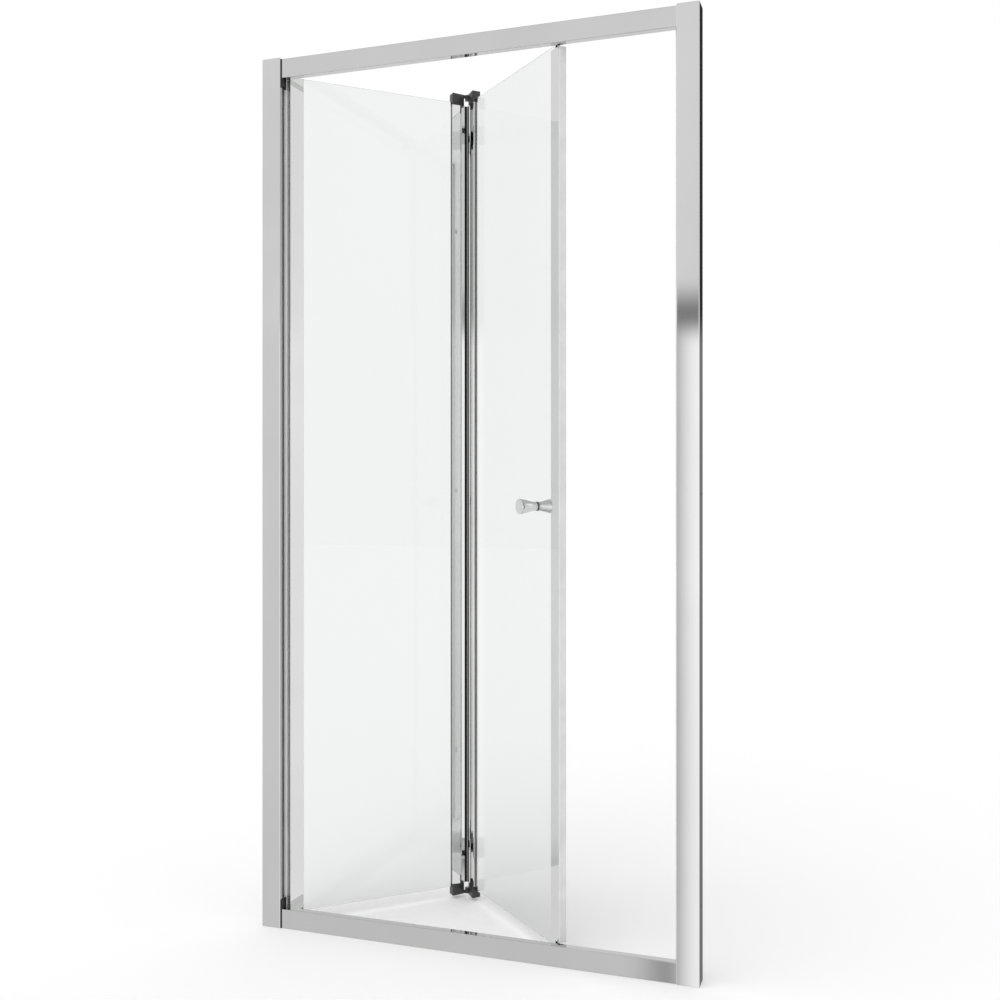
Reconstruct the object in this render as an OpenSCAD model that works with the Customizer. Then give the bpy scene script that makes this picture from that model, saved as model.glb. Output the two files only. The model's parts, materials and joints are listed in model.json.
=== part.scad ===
// Bifold shower door: two framed glass leaves that fold inwards between wall channels.
// Row frame: X across the door, -Y towards the room, +Z up.
// Origin: middle of the width, on the track line, at the underside of the bottom rail.

/* [Opening] */
// Overall width over the two wall channels
door_w = 957; // [880:1:1060]
// Height of the wall channels
channel_h = 1900; // [1700:5:2050]
// How far the leaves are folded as drawn, 0 is shut
fold_angle = 43.65; // [0:0.05:80]

/* [Wall channels] */
// Width of a wall channel's face
channel_face = 45; // [40:0.5:55]
// How far the channel's front face stands before the track line
channel_front = 30; // [28:0.5:36]
// How far the channel's rear face stands behind the track line
channel_rear = 12; // [12:0.5:18]
// Wall thickness of the channels
channel_wall = 2; // [1.5:0.1:3]
// Radius of the channel's outer corners
channel_corner = 1.8; // [1:0.1:3]
// Distance from a channel's ends to its outer wall screw holes
wall_hole_z = 150; // [100:5:250]
// Number of wall screw holes in each channel
wall_hole_count = 3; // [2:1:5]
// Diameter of the wall screw holes
wall_hole_d = 5.5; // [4:0.1:7]

/* [Rails] */
// Height of the head rail and of the bottom rail
rail_h = 41.5; // [36:0.5:50]
// Depth of a rail's front box
rail_box = 17; // [15:0.5:19]
// Wall thickness of a rail's front box
rail_wall = 1.6; // [1.2:0.1:2.2]
// Thickness of the flange that carries the track
flange_t = 2.5; // [2:0.1:3]
// Height of the track ribs above the flange
rib_h = 4; // [3:0.1:5]
// Clear width between the two track ribs
track_w = 9; // [8:0.1:10]
// Thickness of the track ribs and of the rear upstand
rib_t = 1.5; // [1:0.1:2]
// Step from the channels' front down to the rails' front
rail_setback = 1.5; // [0.5:0.1:2]
// Step from the channels' top down to the head rail's top
head_step = 3; // [1:0.5:6]

/* [Jambs] */
// Wall thickness of the jambs
jamb_wall = 1.8; // [1.4:0.1:2.4]
// How far the pivot jamb shows past its channel
pivot_reveal = 3; // [2:0.1:5]
// Running gap between a jamb and its channel
jamb_gap = 0.4; // [0.2:0.05:0.8]
// Depth of the jamb's legs inside the channel
jamb_leg = 36; // [30:0.5:38]
// Height of the black end blocks beside the pivot stile
end_block_h = 20.5; // [15:0.5:30]

/* [Leaves] */
// Distance from the left wall to the pivot axis
pivot_inset = 59.8; // [58:0.1:64]
// Distance from the right wall to the guide axis when shut
guide_inset = 66.6; // [66:0.1:75]
// Glass thickness
glass_t = 6; // [5:0.5:6.5]
// How far the hinge pin stands before the middle of the glass
hinge_offset = 5; // [4.6:0.1:5.5]
// Thickness of the pivot stile and of the leading stile
stile_t = 16; // [15.5:0.1:17]
// Pivot stile, from its axis to its glass edge
pivot_stile_w = 22; // [20:0.5:26]
// Leading stile, over its magnet strip
leading_stile_w = 35; // [30:0.5:38]
// Leading stile, from the guide axis to the face that shuts
leading_reach = 16; // [15:0.5:18]
// Gap from the leaves' lowest point to the track ribs
leaf_lift = 1; // [0.6:0.1:2]
// Gap left above the leaves, which lets them be lifted in
lift_in_gap = 7.5; // [5:0.5:10]
// Width of the slot that holds the glass and its gasket
glazing_slot = 8.4; // [8:0.1:9]

/* [Hinge] */
// Thickness of the two hinge stiles
hinge_stile_t = 14; // [13:0.1:15]
// Hinge stile, from the pin to its glass edge
hinge_stile_end = 38.2; // [36:0.2:42]
// Hinge stile, from the pin to its nose
hinge_nose = 5.5; // [5.2:0.1:7]
// Height of the hinge caps
cap_h = 26; // [24:0.5:32]
// Thickness of a hinge cap at its glass edge
cap_t = 20; // [19:0.2:21]
// Diameter of the hinge pins
hinge_pin_d = 5; // [4:0.1:6]
// Diameter of the hinge knuckles
knuckle_d = 10; // [9:0.1:11]

/* [Pivots and guides] */
// Diameter of the pivot pins and guide pins
pivot_pin_d = 6; // [5:0.1:7]
// Height of the pivot brackets above the flange
bracket_h = 23.7; // [20:0.1:26]
// Length of the guide shoes
shoe_len = 30; // [24:0.5:40]
// Height of the guide shoes above the flange
shoe_h = 20; // [14:0.5:26]

/* [Knob] */
// Height of the knob's axis
knob_z = 922.5; // [700:0.5:1200]
// Distance from the guide axis back to the knob
knob_back = 88.6; // [60:0.1:120]
// Diameter at the knob's waist
knob_waist_d = 19; // [18:0.5:24]
// Diameter at the knob's outer end
knob_end_d = 32; // [28:0.5:40]
// Distance from the middle of the glass to the knob's outer face
knob_reach = 44.4; // [36:0.1:50]

/* [Hidden] */
$fn = 64;
through = 0.5;                 // how far a cut runs past the face that it opens
pin_fit = 0.05;                // radial clearance of a shaft in its hole
seat_gap = 0.3;                // clearance between pieces that move past each other
slip = 0.1;                    // clearance of a piece that slides into its seat

half_w = door_w / 2;
frame_h = channel_h - head_step;
pivot_x = -half_w + pivot_inset;
leaf_l = (door_w - pivot_inset - guide_inset) / 2;
hinge_x = pivot_x + leaf_l * cos(fold_angle) + hinge_offset * sin(fold_angle);
hinge_y = leaf_l * sin(fold_angle) - hinge_offset * cos(fold_angle);
guide_x = pivot_x + 2 * leaf_l * cos(fold_angle) + 2 * hinge_offset * sin(fold_angle);

jamb_front = -channel_front + channel_wall + jamb_gap;
jamb_rear = channel_rear - channel_wall - jamb_gap;
pivot_jamb_end = channel_face + pivot_reveal;
rail_x0 = -half_w + pivot_jamb_end;
rail_x1 = half_w - channel_face;
rail_front = -channel_front + rail_setback;
box_rear = rail_front + rail_box;
rib_top = flange_t + rib_h;

leaf_z0 = rib_top + leaf_lift;
leaf_z1 = frame_h - rib_top - lift_in_gap;
hinge_stile_z0 = leaf_z0 + cap_h;
hinge_stile_z1 = leaf_z1 - cap_h;
glass_tuck = 6.5;              // how far the glass runs into a hinge cap
glass_z0 = hinge_stile_z0 - glass_tuck;
glass_z1 = hinge_stile_z1 + glass_tuck;
bracket_z = flange_t + bracket_h;
bush_flange = 1.5;
stile_corner = 0.8;            // radius along the stiles' outer edges
pivot_stile_z0 = bracket_z + seat_gap + bush_flange;
pivot_stile_z1 = frame_h - bracket_z - lift_in_gap - bush_flange;
leading_gap = 2.5;             // from a rail's box to the leading stile
leading_z0 = rail_h + leading_gap;
leading_z1 = frame_h - rail_h - leading_gap;

slot_half = glazing_slot / 2;
gasket_t = slot_half - glass_t / 2;
core_r = 5;                    // round core of the pivot stile and leading stile
pivot_slot_s = 9;              // where the pivot stile's glazing slot starts
hinge_slot_u = 20;             // where a hinge stile's glazing slot starts
leading_slot_w = 6.9;          // from the guide axis to the leading stile's slot
strip_t = 2.5;                 // thickness of the magnet strip on the leading stile
leading_slot_v = leaf_l - leading_slot_w;
leading_back = leading_stile_w - leading_reach;

trough_r = stile_t / 2 + 1.5;  // round seat in the pivot jamb
groove_front = 17.6;           // pivot jamb: front edge of its outer groove
lip_front = 12.3;              // pivot jamb: front face of its lip
lip_t = 2;
lip_reach = 4;                 // how far the lip stands past the jamb's face
pocket_rear = 3.5;             // pivot jamb: rear edge of the pocket behind the lip
trough_rear = 5;
groove_depth = 6.2;
nose_gap = 1.2;                // from an end block to the pivot stile's flat nose when shut
block_end = pivot_inset - stile_t / 2 - nose_gap;
strip_setback = 0.6;           // from the channel's front back to the end block's strip
end_chamfer = 0.8;             // chamfer on the front edge of a rail's left end
notch_reach = 4.6;             // depth of the notch in a rail's end for the jamb's lip

screw_r = 1.9;
screw_head_r = 2.9;
screw_head_h = 2.4;
screw_len = 22;
cover_end = 200;               // from a channel's ends to its outer screw covers
port_y = jamb_front + jamb_wall + screw_head_r + slip;
port_z = [9, rail_h - 9];
cover_z = [cover_end, channel_h / 2, channel_h - cover_end];
cover_x = 30;                  // from the wall to the channel screws

// ---------- placing ----------

// Profiles of the left side are drawn with x counted from the wall.
module at_left_wall() { translate([-half_w, 0, 0]) children(); }
module at_right_wall() { translate([half_w, 0, 0]) mirror([1, 0, 0]) children(); }

// Inner leaf: x along the leaf from the pivot axis, y across it, 0 is mid glass.
module on_inner_leaf() { translate([pivot_x, 0, 0]) rotate([0, 0, fold_angle]) children(); }

// Outer leaf: x along the leaf from the hinge pin, y across it, 0 is mid glass.
module on_outer_leaf() {
    translate([hinge_x, hinge_y, 0])
        rotate([0, 0, -fold_angle])
            translate([0, hinge_offset, 0])
                children();
}

// Hinge side of the inner leaf: x counted from the hinge pin back into the leaf.
module on_inner_hinge() { on_inner_leaf() translate([leaf_l, 0, 0]) mirror([1, 0, 0]) children(); }

module at_guide() { on_outer_leaf() translate([leaf_l, 0, 0]) children(); }

// Turns what is drawn for the foot of the door over to the head.
module at_head() { translate([0, 0, frame_h]) mirror([0, 0, 1]) children(); }

module upright(z0, z1) { translate([0, 0, z0]) linear_extrude(z1 - z0) children(); }

// ---------- outlines ----------

module slab(x0, y0, x1, y1) { translate([x0, y0]) square([x1 - x0, y1 - y0]); }

module round_slab(x0, y0, x1, y1, r) {
    slab(x0 + r, y0, x1 - r, y1);
    slab(x0, y0 + r, x1, y1 - r);
    for (x = [x0 + r, x1 - r])
        for (y = [y0 + r, y1 - r])
            translate([x, y]) circle(r);
}

// ---------- wall channels ----------

module channel_outline() {
    difference() {
        round_slab(0, -channel_front, channel_face, channel_rear, channel_corner);
        slab(channel_wall, -channel_front + channel_wall,
             channel_face + through, channel_rear - channel_wall);
    }
}

module channel_bar() {
    screw_y = (jamb_front + jamb_rear) / 2;
    pitch = (channel_h - 2 * wall_hole_z) / (wall_hole_count - 1);
    difference() {
        upright(0, channel_h) channel_outline();
        for (i = [0 : wall_hole_count - 1])
            translate([-through, screw_y, wall_hole_z + i * pitch])
                rotate([0, 90, 0])
                    cylinder(d = wall_hole_d, h = channel_wall + 2 * through);
        for (z = cover_z)
            translate([cover_x, channel_rear + through, z])
                rotate([90, 0, 0])
                    cylinder(r = screw_r + slip, h = channel_wall + 2 * through);
    }
}

module wall_channel_left() { color("silver") at_left_wall() channel_bar(); }
module wall_channel_right() { color("silver") at_right_wall() channel_bar(); }

// ---------- jambs ----------

// Open trough that slides in the wall channel; face is its closed end.
module jamb_outline(face) {
    slab(face - jamb_wall, jamb_front, face, jamb_rear);
    slab(face - jamb_leg, jamb_front, face, jamb_front + jamb_wall);
    slab(face - jamb_leg, jamb_rear - jamb_wall, face, jamb_rear);
}

module screw_holes(face) {
    for (end = [0, 1])
        translate([0, 0, end * frame_h])
            mirror([0, 0, end])
                for (z = port_z)
                    translate([face - jamb_wall - through, port_y, z])
                        rotate([0, 90, 0])
                            cylinder(r = screw_r + slip, h = jamb_wall + 2 * through);
    for (z = cover_z)
        translate([cover_x, jamb_rear + through, z])
            rotate([90, 0, 0])
                cylinder(r = screw_r + slip, h = jamb_wall + 2 * through);
}

// Round seat that the pivot stile's nose turns in.
module trough_outline() {
    difference() {
        slab(pivot_jamb_end - jamb_wall, -pocket_rear, pivot_inset, trough_rear);
        translate([pivot_inset, 0]) circle(trough_r);
    }
}

module lip_outline() {
    slab(pivot_jamb_end - groove_depth, -lip_front, pivot_jamb_end + lip_reach - lip_t / 2,
         -lip_front + lip_t);
    translate([pivot_jamb_end + lip_reach - lip_t / 2, -lip_front + lip_t / 2]) circle(lip_t / 2);
}

module pivot_jamb_outline() {
    groove_back = pivot_jamb_end - groove_depth;
    difference() {
        union() {
            jamb_outline(pivot_jamb_end);
            slab(groove_back - jamb_wall, -groove_front - jamb_wall, pivot_jamb_end,
                 -pocket_rear + jamb_wall);
        }
        slab(groove_back, -groove_front, pivot_jamb_end + through, -lip_front);
        slab(groove_back, -lip_front + lip_t, pivot_jamb_end + through, -pocket_rear);
    }
    lip_outline();
    trough_outline();
}

module pivot_jamb() {
    color("silver")
        at_left_wall()
            difference() {
                upright(0, frame_h) pivot_jamb_outline();
                screw_holes(pivot_jamb_end);
            }
}

seal_stem = 4.4;               // width of the closing seal's stem
seal_half = 5;                 // half width of the closing seal's face
seal_depth = 4;                // how deep the stem sits in the jamb

module closing_jamb() {
    color("silver")
        at_right_wall()
            difference() {
                upright(0, frame_h) {
                    jamb_outline(channel_face);
                    slab(channel_face - seal_depth - jamb_wall, -seal_stem / 2 - jamb_wall,
                         channel_face, seal_stem / 2 + jamb_wall);
                }
                upright(-through, frame_h + through)
                    slab(channel_face - seal_depth, -seal_stem / 2,
                         channel_face + through, seal_stem / 2);
                screw_holes(channel_face);
            }
}

// Black blocks that close the jamb's grooves beside the foot and head of the stile.
module end_block_outline() {
    difference() {
        union() {
            slab(pivot_jamb_end, jamb_front, block_end, -pocket_rear);
            slab(pivot_jamb_end - groove_depth + slip, -groove_front + slip,
                 block_end, -lip_front - slip);
            slab(pivot_jamb_end - groove_depth + slip, -lip_front + lip_t + slip,
                 block_end, -pocket_rear - slip);
        }
        slab(pivot_jamb_end - groove_depth, -lip_front - slip,
             pivot_jamb_end + lip_reach + through, -lip_front + lip_t + slip);
    }
}

// The block and its thin strip, which fills the joint between the rail's end and the channel.
module end_block() {
    at_left_wall() {
        upright(rail_h, rail_h + end_block_h) end_block_outline();
        upright(0, rail_h + end_block_h)
            slab(channel_face + jamb_gap, -channel_front + strip_setback,
                 pivot_jamb_end - slip, jamb_front);
        upright(rail_h, rail_h + end_block_h)
            slab(pivot_jamb_end - 2 * slip, -channel_front + strip_setback,
                 block_end, jamb_front);
    }
}

module end_block_bottom() { color("black") end_block(); }
module end_block_top() { color("black") at_head() end_block(); }

// ---------- rails ----------

port_r = 3.4;

module rail_outline() {
    corner = 1.2;
    difference() {
        round_slab(rail_front, 0, box_rear, rail_h, corner);
        slab(rail_front + rail_wall, rail_wall, box_rear - rail_wall, rail_h - rail_wall);
    }
    difference() {
        for (z = port_z) {
            translate([port_y, z]) circle(port_r);
            slab(rail_front + rail_wall / 2, z - port_r / 2, port_y, z + port_r / 2);
        }
        for (z = port_z)
            translate([port_y, z]) circle(screw_r + pin_fit);
    }
    slab(box_rear - rail_wall, 0, channel_rear, flange_t);
    for (side = [-1, 1])
        translate([side * (track_w + rib_t) / 2 - rib_t / 2, 0]) square([rib_t, rib_top]);
    slab(channel_rear - rib_t, 0, channel_rear, rib_top);
}

module rail_bar() {
    translate([rail_x0, 0, 0])
        rotate([90, 0, 90])
            linear_extrude(rail_x1 - rail_x0)
                rail_outline();
}

bracket_screw_x = 7.5;         // from the pivot axis to the bracket's screw
bracket_screw_r = 1.7;
bracket_head_r = 3.4;
bracket_head_h = 1.7;

module bracket_screw_hole() {
    translate([pivot_x + bracket_screw_x, 0, -through])
        cylinder(r = bracket_screw_r + slip, h = flange_t + 2 * through);
    translate([pivot_x + bracket_screw_x, 0, -through])
        cylinder(r = bracket_head_r + slip, h = bracket_head_h + through);
}

// Room at the rail's end for the lip and the round seat of the pivot jamb.
module jamb_notch() {
    at_left_wall()
        upright(-through, rail_h + through)
            slab(pivot_jamb_end - through, -lip_front - slip,
                 pivot_jamb_end + notch_reach, trough_rear + slip);
}

module end_bevel() {
    translate([rail_x0, rail_front, -through])
        rotate([0, 0, 45])
            translate([-end_chamfer / sqrt(2), -end_chamfer / sqrt(2), 0])
                cube([end_chamfer * sqrt(2), end_chamfer * sqrt(2), rail_h + 2 * through]);
}

module rail() {
    difference() {
        rail_bar();
        bracket_screw_hole();
        jamb_notch();
        end_bevel();
    }
}

module bottom_rail() { color("silver") rail(); }
module head_rail() { color("silver") at_head() rail(); }

// ---------- pivot brackets ----------

module pivot_bracket() {
    body_r = trough_r - seat_gap;
    reach = 12;
    corner = 0.9;
    thread_share = 0.6;
    difference() {
        upright(flange_t, bracket_z) {
            translate([pivot_x, 0]) circle(body_r);
            round_slab(pivot_x - 1, -body_r, pivot_x + reach, body_r, corner);
        }
        for (side = [-1, 1])
            translate([pivot_x - trough_r, side * (track_w + rib_t) / 2 - rib_t / 2 - slip,
                       flange_t - through])
                cube([2 * trough_r + reach, rib_t + 2 * slip, rib_h + slip + through]);
        translate([pivot_x, 0, flange_t + rib_h])
            cylinder(d = pivot_pin_d + 2 * pin_fit, h = bracket_h);
        translate([pivot_x + bracket_screw_x, 0, flange_t - through])
            cylinder(r = bracket_screw_r + pin_fit, h = bracket_h * thread_share);
    }
}

module pivot_bracket_bottom() { color("dimgray") pivot_bracket(); }
module pivot_bracket_top() { color("dimgray") at_head() pivot_bracket(); }

module bracket_screw() {
    translate([pivot_x + bracket_screw_x, 0, 0]) {
        cylinder(r = bracket_head_r, h = bracket_head_h);
        cylinder(r = bracket_screw_r, h = flange_t + bracket_h / 2);
    }
}

module bracket_screws() {
    color("gray") {
        bracket_screw();
        at_head() bracket_screw();
    }
}

bush_len = 20;

module pivot_pin(top) {
    translate([pivot_x, 0, flange_t + rib_h])
        cylinder(d = pivot_pin_d, h = top - flange_t - rib_h);
}

module pivot_pins() {
    color("gainsboro") {
        pivot_pin(pivot_stile_z0 + bush_len);
        at_head() pivot_pin(frame_h - pivot_stile_z1 + bush_len);
    }
}

// ---------- frame screws ----------

module corner_screw(face) {
    translate([face - jamb_wall - screw_head_h, port_y, 0])
        rotate([0, 90, 0]) {
            cylinder(r = screw_head_r, h = screw_head_h);
            cylinder(r = screw_r, h = screw_len);
        }
}

module corner_screw_set(face) {
    for (end = [0, 1])
        translate([0, 0, end * frame_h])
            mirror([0, 0, end])
                for (z = port_z)
                    translate([0, 0, z]) corner_screw(face);
}

module corner_screws() {
    color("gray") {
        at_left_wall() corner_screw_set(pivot_jamb_end);
        at_right_wall() corner_screw_set(channel_face);
    }
}

channel_head_r = 3.6;
channel_head_h = 2;
channel_screw_len = 9;
cover_r = 6;
cover_h = 3.4;
cover_rim = 1;

module channel_screw_places() {
    for (z = cover_z) {
        at_left_wall() translate([cover_x, channel_rear, z]) children();
        at_right_wall() translate([cover_x, channel_rear, z]) children();
    }
}

module channel_screws() {
    color("gray")
        channel_screw_places() {
            rotate([-90, 0, 0]) cylinder(r = channel_head_r, h = channel_head_h);
            rotate([90, 0, 0]) cylinder(r = screw_r, h = channel_screw_len);
        }
}

module channel_screw_covers() {
    color("silver")
        channel_screw_places()
            rotate([-90, 0, 0])
                rotate_extrude()
                    difference() {
                        union() {
                            slab(0, 0, cover_r, cover_h - cover_rim);
                            slab(0, 0, cover_r - cover_rim, cover_h);
                            translate([cover_r - cover_rim, cover_h - cover_rim]) circle(cover_rim);
                        }
                        slab(-through, -through, channel_head_r + slip, channel_head_h + slip);
                    }
}

// ---------- closing seal ----------

closing_gap = 0.5;             // between the two magnet faces when shut
magnet_back = 1.2;             // seal wall behind the closing magnet
magnet_skin = 1;               // seal wall before the closing magnet
closing_magnet_half = 3.4;

module closing_seal_outline() {
    face = guide_inset - leading_reach - closing_gap;
    difference() {
        union() {
            slab(channel_face, -seal_half, face, seal_half);
            slab(channel_face - seal_depth + slip, -seal_stem / 2 + slip,
                 channel_face, seal_stem / 2 - slip);
        }
        magnet_outline(channel_face + magnet_back, face - magnet_skin, 0);
    }
}

module magnet_outline(x0, x1, gap) {
    slab(x0 + gap, -closing_magnet_half + gap, x1 - gap, closing_magnet_half - gap);
}

module closing_seal() {
    color("whitesmoke")
        at_right_wall()
            upright(rib_top + seat_gap, frame_h - rib_top - seat_gap)
                closing_seal_outline();
}

module closing_magnet() {
    face = guide_inset - leading_reach - closing_gap;
    color("dimgray")
        at_right_wall()
            upright(rail_h, frame_h - rail_h)
                magnet_outline(channel_face + magnet_back, face - magnet_skin, pin_fit);
}

// ---------- pivot stile ----------

// The nose is flat in front and rounded behind, where it turns in the jamb's seat.
module pivot_stile_outline() {
    half = stile_t / 2;
    difference() {
        round_slab(-half, -half, pivot_stile_w, half, stile_corner);
        difference() {
            translate([-half, half]) square(stile_t, center = true);
            circle(half);
        }
        slab(pivot_slot_s, -slot_half, pivot_stile_w + through, slot_half);
    }
}

module pivot_stile() {
    color("silver")
        on_inner_leaf()
            difference() {
                upright(pivot_stile_z0, pivot_stile_z1) pivot_stile_outline();
                upright(pivot_stile_z0 - through, pivot_stile_z1 + through) circle(core_r);
            }
}

// Flanged plastic bush in the end of a round core, drawn from the end face up.
module core_bush(bore_d) {
    difference() {
        union() {
            translate([0, 0, -bush_flange]) cylinder(r = stile_t / 2 - 0.5, h = bush_flange);
            cylinder(r = core_r - pin_fit, h = bush_len);
        }
        translate([0, 0, -bush_flange - through])
            cylinder(d = bore_d, h = bush_len + bush_flange + 2 * through);
    }
}

module pivot_bushes() {
    color("dimgray")
        on_inner_leaf() {
            translate([0, 0, pivot_stile_z0]) core_bush(pivot_pin_d + 2 * pin_fit);
            translate([0, 0, pivot_stile_z1]) mirror([0, 0, 1]) core_bush(pivot_pin_d + 2 * pin_fit);
        }
}

// ---------- hinge stiles, x counted from the pin ----------

step_u = 19;                   // where the flat face ends and the groove before the nose starts
groove_u = [14.6, 17];         // floor of that groove
groove_t = 2.2;
nose_drop = 1.3;               // how far the nose's ridge stays behind the pin's plane
nose_face = -hinge_offset + nose_drop;
nose_chamfer = 0.6;            // from the ridge to the nose's end face
ridge_u = hinge_nose + nose_chamfer;
chamber_u = [9.6, 16.6];
chamber_t = [3.2, 5.6];
stem_t = 4.4;                  // middle of the slot that holds the seal's stem
stem_half = 0.9;

module hinge_stile_outline() {
    half = hinge_stile_t / 2;
    nose_r = 2.2;
    difference() {
        polygon([[hinge_stile_end, -half], [step_u, -half], [groove_u[1], groove_t],
                 [groove_u[0], groove_t], [ridge_u, nose_face],
                 [hinge_nose, nose_face + nose_chamfer], [hinge_nose, half],
                 [hinge_stile_end, half]]);
        difference() {
            translate([hinge_nose, half]) square(2 * nose_r, center = true);
            translate([hinge_nose + nose_r, half - nose_r]) circle(nose_r);
        }
        slab(hinge_slot_u, -slot_half, hinge_stile_end + through, slot_half);
        slab(chamber_u[0], chamber_t[0], chamber_u[1], chamber_t[1]);
        slab(hinge_nose - through, stem_t - stem_half, chamber_u[0] + through, stem_t + stem_half);
    }
}

module hinge_stile() { upright(hinge_stile_z0, hinge_stile_z1) hinge_stile_outline(); }
module inner_hinge_stile() { color("silver") on_inner_hinge() hinge_stile(); }
module outer_hinge_stile() { color("silver") on_outer_leaf() hinge_stile(); }

// Seals on the noses: hollow bulb, stem in the stile's slot, and a lip that reaches to the pin.
lip_tip = [0.4, 0.25];         // from the leaf's end and the pin's plane to the lip's tip
lip_root_t = -3.4;             // front of the lip where it meets the nose
lip_back = 1.2;
seal_foot = 1.2;
bulb_t = 1.2;                  // middle of the bulb, across the leaf

// The lip's outline from its root down the nose's end face and back to its tip.
module seal_profile() {
    nose = hinge_nose - slip;
    tip_t = -hinge_offset + lip_tip[1];
    polygon([[nose, lip_root_t], [nose, stem_t + stem_half - slip],
             [nose - seal_foot, stem_t + stem_half - slip],
             [nose - seal_foot, nose_face + nose_chamfer + seal_foot],
             [lip_tip[0], tip_t + lip_back], [lip_tip[0], tip_t]]);
}

module hinge_seal() {
    bulb_r = (hinge_nose - seat_gap) / 2 - slip;
    bulb = [seat_gap + bulb_r, bulb_t];
    upright(hinge_stile_z0, hinge_stile_z1)
        difference() {
            union() {
                seal_profile();
                translate(bulb) circle(bulb_r);
                slab(hinge_nose - seal_foot, stem_t - stem_half + slip,
                     chamber_u[0], stem_t + stem_half - slip);
            }
            translate(bulb) circle(bulb_r - 0.9);
        }
}

module inner_hinge_seal() { color("black") on_inner_hinge() hinge_seal(); }
module outer_hinge_seal() { color("black") on_outer_leaf() hinge_seal(); }

// ---------- hinge caps ----------

cap_nose = 8.4;                // from the pin to a cap's body
cap_nose_face = 1;             // how far the cap stands before the pin's plane at its nose
knuckle_h = 13.5;              // height of the two knuckles together
cap_step_h = 10;               // the cap's lower part is flush with the stile's back
spigot_len = 14;

module cap_outline(back) {
    polygon([[hinge_stile_end, -cap_t / 2], [cap_nose, -hinge_offset - cap_nose_face],
             [cap_nose, back - 2], [cap_nose + 2, back], [hinge_stile_end, back]]);
}

module knuckle_arm() {
    translate([0, -hinge_offset]) circle(d = knuckle_d);
    slab(0, -hinge_offset - cap_nose_face / 2, cap_nose + 1, -hinge_offset + knuckle_d / 2);
}

// The foot cap, drawn from its outer end up; rank 0 or 1 is its place on the pin.
module hinge_cap(rank) {
    arm_h = knuckle_h / 2;
    difference() {
        union() {
            upright(0, cap_h) cap_outline(hinge_stile_t / 2);
            upright(0, cap_h - cap_step_h) cap_outline(cap_t / 2);
            upright(rank * (arm_h + seat_gap / 2), (rank + 1) * arm_h - (1 - rank) * seat_gap / 2)
                knuckle_arm();
            upright(cap_h, cap_h + spigot_len)
                slab(chamber_u[0] + slip, chamber_t[0] + slip, chamber_u[1] - slip, chamber_t[1] - slip);
        }
        translate([0, -hinge_offset, -through])
            cylinder(d = hinge_pin_d + 2 * pin_fit, h = knuckle_h + 2 * through);
        upright(cap_h - glass_tuck - slip, cap_h + through)
            slab(hinge_slot_u, -glass_t / 2 - slip, hinge_stile_end + through, glass_t / 2 + slip);
    }
}

module foot_cap(rank) { translate([0, 0, leaf_z0]) hinge_cap(rank); }
module head_cap(rank) { translate([0, 0, leaf_z1]) mirror([0, 0, 1]) hinge_cap(rank); }

module inner_hinge_cap_bottom() { color("#3c3c3e") on_inner_hinge() foot_cap(0); }
module inner_hinge_cap_top() { color("#3c3c3e") on_inner_hinge() head_cap(0); }
module outer_hinge_cap_bottom() { color("#3c3c3e") on_outer_leaf() foot_cap(1); }
module outer_hinge_cap_top() { color("#3c3c3e") on_outer_leaf() head_cap(1); }

module hinge_pins() {
    color("gainsboro")
        on_inner_hinge()
            translate([0, -hinge_offset, 0]) {
                translate([0, 0, leaf_z0]) cylinder(d = hinge_pin_d, h = knuckle_h);
                translate([0, 0, leaf_z1 - knuckle_h]) cylinder(d = hinge_pin_d, h = knuckle_h);
            }
}

// ---------- leading stile, x counted from the guide axis ----------

magnet_pocket = 4.4;           // depth of the leading stile's magnet pocket
magnet_half = 3.1;
strip_wall = 0.8;              // strip wall round the leading magnet
strip_skin = 1.2;              // strip wall before the leading magnet

module leading_stile_outline() {
    face = leading_reach - strip_t;
    difference() {
        round_slab(-leading_back, -stile_t / 2, face, stile_t / 2, stile_corner);
        slab(-leading_back - through, -slot_half, -leading_slot_w, slot_half);
        circle(core_r);
        slab(face - magnet_pocket, -magnet_half, face + through, magnet_half);
    }
}

module leading_stile() {
    color("silver") at_guide() upright(leading_z0, leading_z1) leading_stile_outline();
}

module leading_strip() {
    face = leading_reach - strip_t;
    color("gainsboro")
        at_guide()
            upright(leading_z0, leading_z1)
                difference() {
                    union() {
                        round_slab(face, -stile_t / 2, leading_reach, stile_t / 2, stile_corner);
                        slab(face, -stile_t / 2 + stile_corner, face + stile_corner,
                             stile_t / 2 - stile_corner);
                        slab(face - magnet_pocket + slip, -magnet_half + slip, face, magnet_half - slip);
                    }
                    leading_magnet_outline(0);
                }
}

module leading_magnet_outline(gap) {
    face = leading_reach - strip_t;
    slab(face - magnet_pocket + strip_wall + gap, -magnet_half + strip_wall + gap,
         leading_reach - strip_skin - gap, magnet_half - strip_wall - gap);
}

module leading_magnet() {
    color("dimgray")
        at_guide() upright(leading_z0 + 1, leading_z1 - 1) leading_magnet_outline(pin_fit);
}

module leading_end_plugs() {
    color("dimgray")
        at_guide() {
            translate([0, 0, leading_z0]) core_bush(pivot_pin_d + 2 * pin_fit);
            translate([0, 0, leading_z1]) mirror([0, 0, 1]) core_bush(pivot_pin_d + 2 * pin_fit);
        }
}

shoe_gap = 0.3;                // between a shoe and the flange it runs on
shoe_z = flange_t + shoe_gap;
shoe_body_half = 7;            // half width of a shoe above the track
shoe_step = 3;                 // how far the shoe's body stops short of its tongue
tongue_corner = 2;
guide_pin_seat = 4;            // from a shoe's foot to its guide pin
shoe_neck = 0.6;               // how far the shoe's body stays above the ribs

module guide_pin() {
    translate([0, 0, shoe_z + guide_pin_seat])
        cylinder(d = pivot_pin_d, h = leading_z0 + bush_len - shoe_z - guide_pin_seat);
}

module guide_pins() {
    color("gainsboro")
        at_guide() {
            guide_pin();
            at_head() guide_pin();
        }
}

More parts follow.
